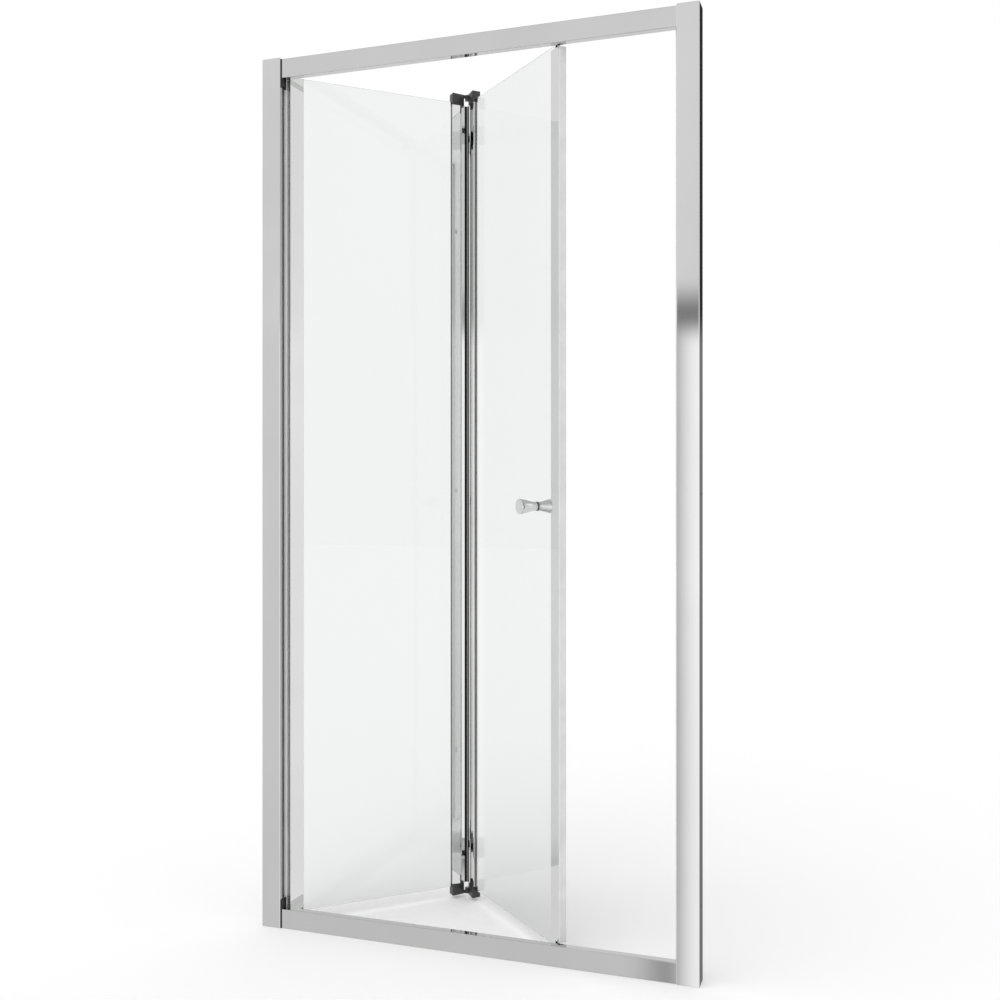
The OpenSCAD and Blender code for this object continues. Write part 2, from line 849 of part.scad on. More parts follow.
module guide_shoe() {
    tongue = track_w / 2 - seat_gap;
    body_len = shoe_len / 2 - shoe_step;
    translate([guide_x, 0, shoe_z])
        difference() {
            union() {
                linear_extrude(rib_h + 1)
                    round_slab(-shoe_len / 2, -tongue, shoe_len / 2, tongue, tongue_corner);
                translate([0, 0, rib_h + shoe_neck])
                    linear_extrude(shoe_h - rib_h - shoe_neck)
                        round_slab(-body_len, -shoe_body_half, body_len, shoe_body_half, shoe_step);
            }
            translate([0, 0, guide_pin_seat - shoe_gap])
                cylinder(d = pivot_pin_d + 2 * pin_fit, h = shoe_h);
        }
}

module bottom_guide_shoe() { color("dimgray") guide_shoe(); }
module top_guide_shoe() { color("dimgray") at_head() guide_shoe(); }

// ---------- glass ----------

glass_s0 = pivot_slot_s + gasket_t;
glass_u0 = hinge_slot_u + gasket_t;

module inner_glass() {
    color("aliceblue", 0.35)
        on_inner_leaf()
            upright(glass_z0, glass_z1)
                slab(glass_s0, -glass_t / 2, leaf_l - glass_u0, glass_t / 2);
}

module knob_axis() {
    on_outer_leaf()
        translate([leaf_l - knob_back, 0, knob_z])
            rotate([90, 0, 0])
                children();
}

glass_hole_r = 6;

module outer_glass() {
    color("aliceblue", 0.35)
        difference() {
            on_outer_leaf()
                upright(glass_z0, glass_z1)
                    slab(glass_u0, -glass_t / 2, leading_slot_v - gasket_t, glass_t / 2);
            knob_axis() cylinder(r = glass_hole_r, h = 2 * glass_t, center = true);
        }
}

// U-shaped gasket that fills a slot whose bottom is at x0 and whose mouth is at x1.
module gasket_outline(x0, x1) {
    difference() {
        slab(x0, -slot_half, x1, slot_half);
        slab(x0 + gasket_t, -glass_t / 2, x1 + through, glass_t / 2);
    }
}

module inner_gaskets() {
    color("lightgray")
        on_inner_leaf() {
            upright(pivot_stile_z0, pivot_stile_z1) gasket_outline(pivot_slot_s, pivot_stile_w);
            upright(hinge_stile_z0, hinge_stile_z1)
                translate([leaf_l, 0])
                    mirror([1, 0])
                        gasket_outline(hinge_slot_u, hinge_stile_end);
        }
}

module outer_gaskets() {
    color("lightgray")
        on_outer_leaf() {
            upright(hinge_stile_z0, hinge_stile_z1) gasket_outline(hinge_slot_u, hinge_stile_end);
            upright(leading_z0, leading_z1)
                translate([leading_slot_v, 0])
                    mirror([1, 0])
                        gasket_outline(0, leading_back - leading_slot_w);
        }
}

// ---------- knob ----------

washer_t = 0.9;
rim_r = 3;
stud_r = 3;
stud_half = 22;
knob_steps = 14;

// Radius of the knob at share f of its length, a slow swell from waist to end.
function knob_r(f) = knob_waist_d / 2 + (knob_end_d - knob_waist_d) / 4 * (1 - cos(180 * f));

module knob_half() {
    base = glass_t / 2 + washer_t;
    neck = knob_reach - rim_r - base;
    edge = knob_end_d / 2 - rim_r;
    difference() {
        rotate_extrude() {
            polygon(concat([[0, base]],
                           [for (i = [0 : knob_steps])
                               [knob_r(i / knob_steps), base + neck * i / knob_steps]],
                           [[0, base + neck]]));
            slab(0, knob_reach - rim_r - through, edge, knob_reach);
            translate([edge, knob_reach - rim_r]) intersection() {
                circle(rim_r);
                slab(0, 0, rim_r + 1, rim_r + 1);
            }
        }
        translate([0, 0, base - through])
            cylinder(r = stud_r + pin_fit, h = stud_half - base + 2 * through);
    }
}

module knob_outer() { color("silver") knob_axis() knob_half(); }
module knob_inner() { color("silver") knob_axis() mirror([0, 0, 1]) knob_half(); }

module knob_washer() {
    difference() {
        union() {
            translate([0, 0, glass_t / 2]) cylinder(d = knob_waist_d + 0.6, h = washer_t);
            translate([0, 0, slip]) cylinder(r = glass_hole_r - slip, h = glass_t / 2);
        }
        cylinder(r = stud_r + pin_fit, h = glass_t);
    }
}

module knob_washers() {
    color("black")
        knob_axis() {
            knob_washer();
            mirror([0, 0, 1]) knob_washer();
        }
}

module knob_stud() {
    color("gray") knob_axis() cylinder(r = stud_r, h = 2 * stud_half, center = true);
}

// ---------- the door ----------

wall_channel_left();
wall_channel_right();
pivot_jamb();
closing_jamb();
head_rail();
bottom_rail();
end_block_bottom();
end_block_top();
pivot_bracket_bottom();
pivot_bracket_top();
bracket_screws();
pivot_pins();
corner_screws();
channel_screws();
channel_screw_covers();
closing_seal();
closing_magnet();
inner_glass();
inner_gaskets();
pivot_stile();
pivot_bushes();
inner_hinge_stile();
inner_hinge_seal();
inner_hinge_cap_bottom();
inner_hinge_cap_top();
hinge_pins();
outer_glass();
outer_gaskets();
outer_hinge_stile();
outer_hinge_seal();
outer_hinge_cap_bottom();
outer_hinge_cap_top();
leading_stile();
leading_end_plugs();
leading_strip();
leading_magnet();
guide_pins();
knob_outer();
knob_inner();
knob_washers();
knob_stud();
bottom_guide_shoe();
top_guide_shoe();
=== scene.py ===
"""Looks of the bifold shower door: glass, knobs, seals, caps, screws and finishes."""

import json
import math

import bmesh
import bpy
from bpy.props import FloatProperty, FloatVectorProperty, IntProperty, PointerProperty
from mathutils import Matrix, Vector


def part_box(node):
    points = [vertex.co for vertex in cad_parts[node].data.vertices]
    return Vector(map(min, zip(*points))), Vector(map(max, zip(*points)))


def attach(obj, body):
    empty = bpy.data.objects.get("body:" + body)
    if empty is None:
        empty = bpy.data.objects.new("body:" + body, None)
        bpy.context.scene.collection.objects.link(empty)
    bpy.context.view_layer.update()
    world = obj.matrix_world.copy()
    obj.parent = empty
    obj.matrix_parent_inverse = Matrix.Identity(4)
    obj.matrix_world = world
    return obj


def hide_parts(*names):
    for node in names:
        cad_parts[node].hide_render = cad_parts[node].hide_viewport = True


bl_info = {
    "name": "Bifold Shower Door",
    "version": (1, 0, 0),
    "blender": (4, 5, 0),
    "location": "View3D > Sidebar > Door",
    "description": "Adds glass, knobs, seals and finishes to a folding shower door",
    "category": "Object",
}

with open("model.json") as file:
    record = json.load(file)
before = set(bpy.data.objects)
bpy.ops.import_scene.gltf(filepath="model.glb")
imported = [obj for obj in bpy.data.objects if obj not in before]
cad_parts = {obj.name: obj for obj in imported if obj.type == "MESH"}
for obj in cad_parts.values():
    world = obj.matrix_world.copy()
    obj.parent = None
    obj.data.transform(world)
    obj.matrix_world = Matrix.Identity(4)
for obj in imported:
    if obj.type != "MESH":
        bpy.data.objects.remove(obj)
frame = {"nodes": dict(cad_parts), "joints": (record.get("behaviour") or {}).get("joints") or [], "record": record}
NODES = frame["nodes"]
JOINTS = {j["name"]: j for j in frame["joints"]}
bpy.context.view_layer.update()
MM = 0.001


# ---------- leaves ----------


def leaf_matrices():
    """Places of the two leaves at rest: x along the leaf, y across it towards the shower."""
    fold = -math.radians(JOINTS["leaf_pivot"]["range_deg"][0])
    places = {}
    for body, joint, turn in (
        ("inner_leaf", "leaf_pivot", fold),
        ("outer_leaf", "leaf_fold", -fold),
    ):
        pin = Vector(JOINTS[joint]["pos_m"])
        pin.z = 0
        places[body] = Matrix.Translation(pin) @ Matrix.Rotation(turn, 4, "Z")
    return places


LEAF = leaf_matrices()


def leaf_box(node, body):
    """Lowest and highest corner of a CAD node, measured along its leaf."""
    back = LEAF[body].inverted()
    points = [back @ v.co for v in NODES[node].data.vertices]
    low = Vector([min(p[i] for p in points) for i in range(3)])
    high = Vector([max(p[i] for p in points) for i in range(3)])
    return low, high


def knob_place():
    """Centre of the knobs' axis, measured along the outer leaf: x, y and z."""
    low, high = leaf_box("knob_stud", "outer_leaf")
    return (low.x + high.x) / 2, (low.y + high.y) / 2, (low.z + high.z) / 2


# ---------- sizes and colours ----------


def colour(name, words, value):
    """A colour property, written as linear values."""
    return FloatVectorProperty(
        name=name, description=words, default=value, size=3, min=0, max=1, subtype="COLOR"
    )


def length(name, words, value):
    """A length property in metres."""
    return FloatProperty(
        name=name, description=words, default=value, min=0, unit="LENGTH", precision=5
    )


def light_level(name, words, value):
    """A property for the strength of a light."""
    return FloatProperty(name=name, description=words, default=value, min=0)


def count(name, words, value, low, high):
    """A whole-number property."""
    return IntProperty(name=name, description=words, default=value, min=low, max=high)


class DoorSizes(bpy.types.PropertyGroup):
    """Sizes of the pieces that are made here."""

    glass_arris: length("Glass edge", "Width of the polished bevel round the panes", 0.15 * MM)
    knob_hole: length("Knob hole", "Radius of the knob's hole in the outer pane", 6.0 * MM)
    hole_arris: length("Hole edge", "Width of the bevel round the knob's hole", 0.6 * MM)
    cap_edge: length("Moulded edge", "Radius on the edges of the moulded pieces", 0.45 * MM)
    inner_lip: length("Inner lip", "How far the inner leaf's gasket lips stand out", 0.5 * MM)
    outer_lip: length("Outer lip", "How far the outer leaf's gasket lips stand out", 2.2 * MM)
    lip_tip: length("Seal lip", "From the hinge pin's axis to a seal's lip", 0.12 * MM)
    knob_rim: length("Knob rim", "Radius of the knob's outer rim", 1.5 * MM)
    knob_waist: length("Knob waist", "Radius of the knob where it meets its washer", 9.5 * MM)
    knob_foot: length("Knob foot", "Radius of the edge at the knob's foot", 0.5 * MM)
    knob_bore: length("Knob bore", "Radius of the stud's hole in a knob", 3.1 * MM)
    knob_bore_depth: length("Bore depth", "Depth of the stud's hole in a knob", 17 * MM)
    knob_rings: count("Knob rings", "Rings along the knob", 28, 8, 80)
    knob_sides: count("Knob sides", "Sides round the knob", 96, 24, 200)
    socket: length("Screw socket", "Width of the hexagon socket in the screw heads", 2.6 * MM)
    screw_head: length("Screw head", "Height of the screw heads", 1.7 * MM)
    screw_shank: length("Screw shank", "Radius of the screws' threads", 1.7 * MM)
    screw_pitch: length("Screw pitch", "From one turn of the thread to the next", 0.9 * MM)


class DoorFinishes(bpy.types.PropertyGroup):
    """Colours of the finishes."""

    silver: colour("Silver", "Polished wall channels", (0.71, 0.715, 0.71))
    rail: colour("Rail silver", "Polished rails", (0.67, 0.675, 0.67))
    stile: colour("Stile silver", "Mirror polished stiles of the leaves", (0.74, 0.745, 0.74))
    chrome: colour("Chrome", "Knobs and screw covers", (0.78, 0.78, 0.785))
    steel: colour("Steel", "Pins, screws and the knobs' stud", (0.56, 0.56, 0.57))
    glass: colour("Glass", "Tint of the panes", (0.885, 0.89, 0.89))
    # painted shade: the jambs' fronts are a darker silver that stands in for the shade beside the channels
    jamb: colour("Jamb silver", "Fronts of the jambs beside the channels", (0.5, 0.5, 0.5))
    # painted reflection: the grooves' pale matt colour stands in for the grey that the polished grooves reflect
    groove_painted_reflection: colour("Groove silver", "Matt grooves and seat of the jambs", (0.9, 0.9, 0.895))
    black: colour("Black plastic", "Hinge caps", (0.04, 0.04, 0.042))
    block: colour("Block black", "End blocks beside the pivot stile", (0.006, 0.006, 0.0065))
    grey: colour("Grey plastic", "Brackets, bushes, plugs, shoes, magnets", (0.12, 0.12, 0.125))
    rubber: colour("Rubber", "Seals on the hinge stiles", (0.004, 0.004, 0.0042))
    washer: colour("Washer", "Washer under the knob on the room side", (0.03, 0.03, 0.031))
    far_washer: colour("Far washer", "Washer under the knob on the shower side", (0.5, 0.5, 0.5))
    white: colour("White seal", "Closing seal", (0.78, 0.78, 0.77))
    strip: colour("Strip", "Strip on the leading edge", (0.82, 0.82, 0.82))
    gasket: colour("Gaskets", "Glazing gaskets", (0.38, 0.38, 0.38))


class DoorStudio(bpy.types.PropertyGroup):
    """Camera, floor and light."""

    eye: FloatVectorProperty(
        name="Camera",
        description="Place of the camera",
        default=(0.8186, -2.2215, 0.971),
        size=3,
        subtype="XYZ",
        unit="LENGTH",
    )
    turn: FloatProperty(
        name="Camera turn",
        description="Turn of the camera to the left",
        default=math.radians(18.785),
        unit="ROTATION",
    )
    lens: FloatProperty(
        name="Lens",
        description="Focal length on a 36 mm sensor",
        default=40.88,
        min=10,
        unit="CAMERA",
    )
    rise: FloatProperty(name="Shift", description="Upward shift of the camera", default=-0.0168)
    floor: colour("Floor", "Colour of the floor", (0.84, 0.84, 0.84))
    lift: light_level("Floor lift", "Glow that keeps the lit floor white", 0.172)
    ambient: light_level("Ambient", "Level of the room's even light", 0.78)
    key: light_level("Key light", "Strength of the soft light from above", 0.85)


def sizes():
    """The sizes as they are set in the scene."""
    return bpy.context.scene.door_sizes


def finishes():
    """The colours as they are set in the scene."""
    return bpy.context.scene.door_finishes


def studio():
    """Camera, floor and light as they are set in the scene."""
    return bpy.context.scene.door_studio


# ---------- shader maths ----------


class Wire:
    """A shader socket on which Python's operators work."""

    def __init__(self, tree, socket):
        self.tree = tree
        self.socket = socket

    def maths(self, operation, *values):
        """A Math node on wires or numbers."""
        return put(self.tree, "ShaderNodeMath", {"operation": operation}, dict(enumerate(values)))

    def __add__(self, other):
        return self.maths("ADD", self, other)

    def __radd__(self, other):
        return self.maths("ADD", other, self)

    def __sub__(self, other):
        return self.maths("SUBTRACT", self, other)

    def __rsub__(self, other):
        return self.maths("SUBTRACT", other, self)

    def __mul__(self, other):
        return self.maths("MULTIPLY", self, other)

    def __rmul__(self, other):
        return self.maths("MULTIPLY", other, self)

    def __truediv__(self, other):
        return self.maths("DIVIDE", self, other)

    def ramp(self, low, high):
        """0 below low, 1 above high, with a straight slope between."""
        values = {"Value": self, "From Min": low, "From Max": high}
        return put(self.tree, "ShaderNodeMapRange", {}, values)

    def smooth(self, low, high):
        """0 below low, 1 above high, with a soft step between."""
        values = {"Value": self, "From Min": low, "From Max": high}
        return put(self.tree, "ShaderNodeMapRange", {"interpolation_type": "SMOOTHSTEP"}, values)


def set_stops(ramp, stops):
    """Gives a new colour ramp its grey stops: position and level, in rising order."""
    ramp.remove(ramp[1])
    ramp[0].position = stops[0][0]
    for i, (position, level) in enumerate(stops):
        stop = ramp.new(position) if i else ramp[0]
        stop.color = (level, level, level, 1)


def put(tree, kind, settings, values, out=0):
    """Adds a node, applies its settings, then sets or links its sockets."""
    node = tree.nodes.new(kind)
    for key, value in settings.items():
        if key == "stops":
            set_stops(node.color_ramp.elements, value)
        else:
            setattr(node, key, value)
    for key, value in values.items():
        if isinstance(value, Wire):
            tree.links.new(value.socket, node.inputs[key])
        else:
            node.inputs[key].default_value = value
    return Wire(tree, node.outputs[out]) if node.outputs else None


# Colour sockets of a Mix node, which gives its sockets the same names for every type of data
MIX_FACTOR, MIX_FIRST, MIX_SECOND, MIX_RESULT = 0, 6, 7, 2


def blend(tree, factor, first, second, mode="MIX"):
    """Mixes two colours."""
    settings = {"data_type": "RGBA", "blend_type": mode}
    values = {MIX_FACTOR: factor, MIX_FIRST: first, MIX_SECOND: second}
    return put(tree, "ShaderNodeMix", settings, values, out=MIX_RESULT)


def tinge(tree, base, factor, low, high):
    """A colour made a little darker or lighter by a factor."""
    shade = blend(tree, factor, rgba((low, low, low)), rgba((high, high, high)))
    return blend(tree, 1.0, base, shade, "MULTIPLY")


def rgba(value, level=1.0):
    """A colour for a socket, made darker or lighter by the level."""
    return (value[0] * level, value[1] * level, value[2] * level, 1.0)


def new_material(name):
    """An empty node material and its tree."""
    material = bpy.data.materials.new(name)
    material.use_nodes = True
    material.node_tree.nodes.clear()
    return material, material.node_tree


def close_material(tree, values):
    """Principled shader and output."""
    shader = put(tree, "ShaderNodeBsdfPrincipled", {}, values)
    put(tree, "ShaderNodeOutputMaterial", {}, {"Surface": shader})


def object_point(tree):
    """Object coordinates, in metres."""
    return put(tree, "ShaderNodeTexCoord", {}, {}, out="Object")


def place(tree, stretch=(1.0, 1.0, 1.0)):
    """Object coordinates, stretched along the axes."""
    return put(tree, "ShaderNodeMapping", {}, {"Vector": object_point(tree), "Scale": stretch})


def noise(tree, point, scale, detail=2.0):
    """Noise over a piece."""
    values = {"Vector": point, "Scale": scale, "Detail": detail}
    return put(tree, "ShaderNodeTexNoise", {}, values)


def bump(tree, height, depth, strength=0.5):
    """Fine relief, at most depth metres high."""
    values = {"Height": height, "Distance": depth, "Strength": strength}
    return put(tree, "ShaderNodeBump", {}, values)


# ---------- finishes ----------

# The grain of an extrusion is stretched along its length
ALONG_X = (0.012, 1.0, 1.0)
ALONG_Z = (1.0, 1.0, 0.012)

# Fineness of the patterns, in waves or pits to the metre
DIE_LINES = 900.0
CLOUDS = 3.2
POLISHING = 700.0
SMEARS = 38.0
PITS = 1400.0
FADING = 26.0
RUBBER_GRAIN = 900.0
ROLLER_WAVES = 1.6

# Jambs: the y of their front face and of the grooves behind it, and how matt those are. The grooves are polished,
# and their pale matt colour is a painted reflection.
JAMB_FRONT = -18.0 * MM
GROOVE_FRONT = -17.2 * MM
GROOVE_ROUGH = 0.34
GROOVE_METAL = 0.15

# Less than real glass has, which keeps the reflections in the panes faint
GLASS_INDEX = 1.3


def polished(name, tint, grain, rough, painted_groove=None):
    """Bright polished extrusion: faint die lines along its length and soft clouding. Where a groove colour is
    given, its grooves are pale and matt, a painted reflection.
    """
    material, tree = new_material(name)
    base = rgba(tint)
    metal = 1.0
    if painted_groove is not None:
        depth = put(tree, "ShaderNodeSeparateXYZ", {}, {0: object_point(tree)}, out="Y")
        depth = depth.smooth(JAMB_FRONT, GROOVE_FRONT)
        # painted reflection: the pale colour in the grooves stands in for what their polished metal reflects
        base = blend(tree, depth, base, rgba(painted_groove))
        rough = rough + GROOVE_ROUGH * depth
        metal = 1 - (1 - GROOVE_METAL) * depth
    lines = noise(tree, place(tree, grain), DIE_LINES, 3.0)
    mask = noise(tree, place(tree), CLOUDS, 3.0).smooth(0.32, 0.68)
    close_material(
        tree,
        {
            "Base Color": tinge(tree, base, mask, 0.965, 1.02),
            "Metallic": metal,
            "Roughness": rough + 0.012 * lines + 0.012 * mask,
            "Normal": bump(tree, lines, 0.01 * MM, 0.08),
        },
    )
    return material


def turned(name, tint, rough):
    """Chrome or steel with fine polishing marks and small smears."""
    material, tree = new_material(name)
    marks = noise(tree, place(tree), POLISHING, 2.0)
    mask = noise(tree, place(tree), SMEARS, 3.0).smooth(0.35, 0.7)
    close_material(
        tree,
        {
            "Base Color": blend(tree, mask, rgba(tint, 0.97), rgba(tint, 1.02)),
            "Metallic": 1.0,
            "Roughness": rough + 0.03 * mask,
            "Normal": bump(tree, marks, 0.02 * MM, 0.2),
        },
    )
    return material


def moulded(name, tint, rough, grain_depth, shine=0.5):
    """Moulded plastic or rubber: fine pitted grain, slight fading."""
    material, tree = new_material(name)
    point = place(tree)
    values = {"Vector": point, "Scale": PITS}
    grain = put(tree, "ShaderNodeTexVoronoi", {"feature": "SMOOTH_F1"}, values)
    fade = noise(tree, point, FADING, 3.0).smooth(0.3, 0.75)
    close_material(
        tree,
        {
            "Base Color": blend(tree, fade, rgba(tint, 0.95), rgba(tint, 1.05)),
            "Roughness": rough + 0.08 * fade,
            "Specular IOR Level": shine,
            "Normal": bump(tree, grain, grain_depth, 0.5),
        },
    )
    return material


def washer_rubber(name, tint, far_tint):
    """Washers in two colours: dark on the room side of the glass, pale on the other."""
    material, tree = new_material(name)
    leaf = LEAF["outer_leaf"]
    across = leaf.to_3x3() @ Vector((0, 1, 0))
    middle = across.dot(leaf @ Vector(knob_place()))
    values = {0: object_point(tree), 1: tuple(across)}
    side = put(tree, "ShaderNodeVectorMath", {"operation": "DOT_PRODUCT"}, values, out="Value")
    far = side.smooth(middle - MM, middle + MM)
    grain = noise(tree, place(tree), RUBBER_GRAIN)
    close_material(
        tree,
        {
            "Base Color": blend(tree, far, rgba(tint), rgba(far_tint)),
            "Roughness": 0.45 + 0.1 * grain,
            "Normal": bump(tree, grain, 0.02 * MM, 0.3),
        },
    )
    return material


def clear_glass(name, tint):
    """Clear toughened glass with a trace of clouding from its rollers."""
    material, tree = new_material(name)
    sweep = noise(tree, place(tree, (0.8, 0.8, 0.35)), ROLLER_WAVES, 1.0).smooth(0.35, 0.7)
    close_material(
        tree,
        {
            "Base Color": blend(tree, sweep, rgba(tint, 0.992), rgba(tint, 1.008)),
            "Roughness": 0.0,
            "IOR": GLASS_INDEX,
            "Transmission Weight": 1.0,
        },
    )
    return material


FINISH = {}


def make_finishes():
    """All the materials, by the record's slot names or the names in OWN_FINISH."""
    tint = finishes()
    FINISH.update(
        upright_silver=polished("upright_silver", tint.silver, ALONG_Z, 0.03),
        rail_silver=polished("rail_silver", tint.rail, ALONG_X, 0.04),
        # Jambs: the darker silver on their fronts is painted shade, and the pale matt grooves are a painted
        # reflection
        jamb_silver=polished("jamb_silver", tint.jamb, ALONG_Z, 0.06, tint.groove_painted_reflection),
        end_block=moulded("block_black", tint.block, 0.4, 0.02 * MM),
        polished_stile=polished("stile_silver", tint.stile, ALONG_Z, 0.02),
        chrome_knob=turned("knob_chrome", tint.chrome, 0.025),
        chrome_covers=turned("cover_chrome", tint.chrome, 0.05),
        steel_pins=turned("pin_steel", tint.steel, 0.2),
        steel_screws=turned("screw_steel", tint.steel, 0.26),
        clear_glass=clear_glass("clear_glass", tint.glass),
        black_plastic=moulded("black_plastic", tint.black, 0.42, 0.05 * MM),
        grey_plastic=moulded("grey_plastic", tint.grey, 0.45, 0.04 * MM),
        washer=washer_rubber("washer_rubber", tint.washer, tint.far_washer),
        black_rubber=moulded("black_rubber", tint.rubber, 0.5, 0.03 * MM, 0.15),
        white_seal=moulded("white_seal", tint.white, 0.35, 0.02 * MM),
        grey_strip=moulded("grey_strip", tint.strip, 0.42, 0.02 * MM),
        grey_gasket=moulded("gasket_grey", tint.gasket, 0.45, 0.02 * MM),
        magnet_strip=moulded("magnet_black", tint.grey, 0.6, 0.03 * MM),
    )


SLOTS = {part["node"]: part["material_slot"] for part in frame["record"]["subparts"]}

# Nodes whose finish isn't named after their slot
OWN_FINISH = {
    "wall_channel_left": "upright_silver",
    "wall_channel_right": "upright_silver",
    "head_rail": "rail_silver",
    "bottom_rail": "rail_silver",
    # the jambs' finish has painted shade on the fronts and a painted reflection in the grooves
    "pivot_jamb": "jamb_silver",
    "closing_jamb": "jamb_silver",
    "end_block_bottom": "end_block",
    "end_block_top": "end_block",
    "knob_washers": "washer",
}


def slot_of(node):
    """The material slot of a CAD node in the record."""
    return SLOTS[node]


def finish_of(node):
    """The material of a CAD node."""
    return FINISH[OWN_FINISH.get(node, slot_of(node))]


# ---------- mesh helpers ----------

# Distances within which points are merged, and angles between faces in degrees
WELD = 0.01 * MM
FINE_WELD = 0.002 * MM
FLAT_ANGLE = 1.0
CORNER_ANGLE = 28


def piece_from(bm, name, body, nodes, place_matrix=None, smooth=40.0):
    """Turns a bmesh into a piece that rides on a body and stands for CAD nodes."""
    if place_matrix is not None:
        bm.transform(place_matrix)
    bmesh.ops.recalc_face_normals(bm, faces=bm.faces)
    if bm.calc_volume(signed=True) < 0:
        bmesh.ops.reverse_faces(bm, faces=bm.faces)
    mesh = bpy.data.meshes.new(name)
    bm.to_mesh(mesh)
    bm.free()
    piece = bpy.data.objects.new(name, mesh)
    bpy.context.scene.collection.objects.link(piece)
    mesh.materials.append(finish_of(nodes[0]))
    mesh.shade_smooth()
    mesh.set_sharp_from_angle(angle=math.radians(smooth))
    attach(piece, body)
    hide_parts(*nodes)
    return piece


def sharp_edges(bm, angle):
    """Edges between faces that meet at more than the angle."""
    return [e for e in bm.edges if e.is_manifold and e.calc_face_angle(0) > math.radians(angle)]


def edges_round(verts):
    """The edges on some vertices, each once, in the order of the vertices."""
    return list(dict.fromkeys(e for v in verts for e in v.link_edges))


def round_edges(bm, edges, width):
    """Rounds edges in two steps."""
    bmesh.ops.bevel(
        bm,
        geom=edges,
        offset=width,
        offset_type="OFFSET",
        affect="EDGES",
        segments=2,
        profile=0.5,
        material=-1,
        clamp_overlap=True,
    )


def merged_copy(node):
    """Copy of a CAD node's mesh with whole faces instead of loose triangles."""
    bm = bmesh.new()
    bm.from_mesh(NODES[node].data)
    bmesh.ops.remove_doubles(bm, verts=bm.verts, dist=WELD)
    bmesh.ops.dissolve_limit(
        bm,
        angle_limit=math.radians(FLAT_ANGLE),
        verts=bm.verts,
        edges=bm.edges,
        use_dissolve_boundaries=False,
    )
    return bm


def rounded_copy(node, body, width):
    """Copy of a CAD node's mesh with its edges rounded."""
    bm = merged_copy(node)
    round_edges(bm, sharp_edges(bm, CORNER_ANGLE), width)
    return piece_from(bm, node + "_moulded", body, [node])


def spun(profile, steps, turn=Matrix.Identity(4)):
    """A closed profile of (radius, height) points, spun round Z."""
    bm = bmesh.new()
    ring = [bm.verts.new((r, 0, h)) for r, h in profile]
    edges = [bm.edges.new((a, b)) for a, b in zip(ring, ring[1:])]
    bmesh.ops.spin(
        bm,
        geom=ring + edges,
        axis=(0, 0, 1),
        cent=(0, 0, 0),
        angle=2 * math.pi,
        steps=steps,
        use_merge=True,
    )
    bmesh.ops.remove_doubles(bm, verts=bm.verts, dist=FINE_WELD)
    bm.transform(turn)
    return bm


def add_bmesh(target, source):
    """Adds one bmesh's geometry to another."""
    mesh = bpy.data.meshes.new("part")
    source.to_mesh(mesh)
    source.free()
    target.from_mesh(mesh)
    bpy.data.meshes.remove(mesh)


# ---------- panes ----------

HOLE_SIDES = 64
RIM_ANGLE = 60


def pane(low, high, hole, edge, hole_edge):
    """Pane with polished edges; hole is (x, z, radius) or None."""
    bm = bmesh.new()
    corners = [(low.x, low.z), (high.x, low.z), (high.x, high.z), (low.x, high.z)]
    verts = [bm.verts.new((x, low.y, z)) for x, z in corners]
    outline = [bm.edges.new((verts[i], verts[i - 1])) for i in range(4)]
    if hole:
        x, z, radius = hole
        spot = Matrix.Translation((x, low.y, z)) @ Matrix.Rotation(math.pi / 2, 4, "X")
        ring = bmesh.ops.create_circle(bm, segments=HOLE_SIDES, radius=radius, matrix=spot)
        outline += edges_round(ring["verts"])
    bmesh.ops.triangle_fill(bm, edges=outline, use_beauty=True)
    top = bmesh.ops.extrude_face_region(bm, geom=list(bm.faces))["geom"]
    moved = [v for v in top if isinstance(v, bmesh.types.BMVert)]
    bmesh.ops.translate(bm, verts=moved, vec=(0, high.y - low.y, 0))
    bmesh.ops.recalc_face_normals(bm, faces=bm.faces)
    rim = sharp_edges(bm, RIM_ANGLE)
    if hole:
        near = [e for e in rim if (e.verts[0].co.xz - Vector((x, z))).length < 2 * radius]
        rim = [e for e in rim if e not in near]
        round_edges(bm, near, hole_edge)
    round_edges(bm, rim, edge)
    return bm


class DoorGlass(bpy.types.Operator):
    """Makes the two glass panes with polished edges and the knob's hole"""

    bl_idname = "door.glass"
    bl_label = "Glass panes"

    def execute(self, context):
        x, _, z = knob_place()
        for node, body, hole in (
            ("inner_glass", "inner_leaf", None),
            ("outer_glass", "outer_leaf", (x, z, sizes().knob_hole)),
        ):
            low, high = leaf_box(node, body)
            bm = pane(low, high, hole, sizes().glass_arris, sizes().hole_arris)
            piece_from(bm, node + "_pane", body, [node], LEAF[body], smooth=12)
        return {"FINISHED"}


# ---------- gaskets ----------

LIP_STEPS = 6


def gasket(low_x, high_x, mouth, half, glass_half, z0, z1, proud):
    """U-shaped gasket with two rounded lips that lean on the glass; mouth is +1 or -1."""
    root, end = (low_x, high_x) if mouth > 0 else (high_x, low_x)
    wall = half - glass_half
    bead = []
    for i in range(LIP_STEPS + 1):
        angle = math.pi * i / LIP_STEPS - math.pi / 2
        x = end + mouth * proud * math.cos(angle)
        bead.append((x, (half + glass_half) / 2 + math.sin(angle) * wall / 2))
    outline = [(root, -half)] + [(x, -t) for x, t in bead[::-1]]
    outline += [(root + mouth * wall, -glass_half), (root + mouth * wall, glass_half)]
    outline += bead + [(root, half)]
    bm = bmesh.new()
    face = bm.faces.new([bm.verts.new((x, y, z0)) for x, y in outline])
    raised = bmesh.ops.extrude_face_region(bm, geom=[face])["geom"]
    top = [v for v in raised if isinstance(v, bmesh.types.BMVert)]
    bmesh.ops.translate(bm, verts=top, vec=(0, 0, z1 - z0))
    bmesh.ops.remove_doubles(bm, verts=bm.verts, dist=FINE_WELD)
    return bm


